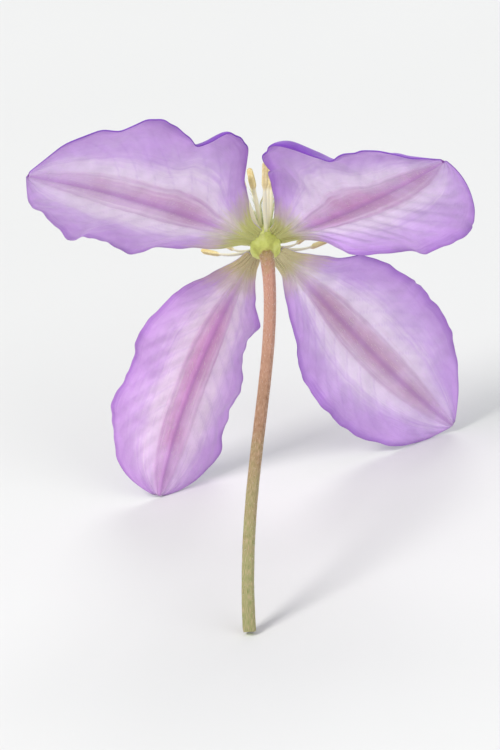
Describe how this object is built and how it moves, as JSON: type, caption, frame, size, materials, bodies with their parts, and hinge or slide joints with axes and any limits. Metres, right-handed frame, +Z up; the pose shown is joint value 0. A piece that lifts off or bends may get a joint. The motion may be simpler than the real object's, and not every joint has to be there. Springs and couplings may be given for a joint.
{
  "type": "clematis flower",
  "caption": "Open violet clematis flower with wavy, pointed tepals, a tuft of cream stamens and its own curved stalk, lying on its side as picked.",
  "frame": {"origin": "on the surface that the flower rests on, under the middle of its bounding box", "axes": "+Z up from that surface, +Y roughly the way the flower faces, and +X to the right as seen from the stalk's side"},
  "size_m": [0.0738, 0.0756, 0.0769],
  "materials": {
    "tepal": "soft, very finely hairy and slightly silky; deep violet on the face and pale lilac behind, with rosy veins",
    "receptacle": "matt yellow-green plant tissue",
    "stalk": "finely ribbed and downy, brown turning green",
    "stamen": "matt cream filaments with buff anthers",
    "style": "silky, pale greenish cream"
  },
  "bodies": {
    "root": {"tepal_upper_left": "tepal", "tepal_upper_right": "tepal", "tepal_lower_left": "tepal", "tepal_lower_right": "tepal", "receptacle": "receptacle", "flower_stalk": "stalk", "stamen_01": "stamen", "stamen_02": "stamen", "stamen_03": "stamen", "stamen_04": "stamen", "stamen_05": "stamen", "stamen_06": "stamen", "stamen_07": "stamen", "stamen_08": "stamen", "stamen_09": "stamen", "stamen_10": "stamen", "stamen_11": "stamen", "stamen_12": "stamen", "stamen_13": "stamen", "stamen_14": "stamen", "stamen_15": "stamen", "stamen_16": "stamen", "stamen_17": "stamen", "stamen_18": "stamen", "stamen_19": "stamen", "stamen_20": "stamen", "stamen_21": "stamen", "stamen_22": "stamen", "stamen_23": "stamen", "stamen_24": "stamen", "stamen_25": "stamen", "stamen_26": "stamen", "stamen_27": "stamen", "stamen_28": "stamen", "stamen_29": "stamen", "stamen_30": "stamen", "stamen_31": "stamen", "stamen_32": "stamen", "stamen_33": "stamen", "stamen_34": "stamen", "stamen_35": "stamen", "stamen_36": "stamen", "style_01": "style", "style_02": "style", "style_03": "style", "style_04": "style", "style_05": "style", "style_06": "style", "style_07": "style", "style_08": "style", "style_09": "style", "style_10": "style", "style_11": "style", "style_12": "style", "style_13": "style", "style_14": "style", "style_15": "style", "style_16": "style", "style_17": "style"}
  },
  "joints": []
}
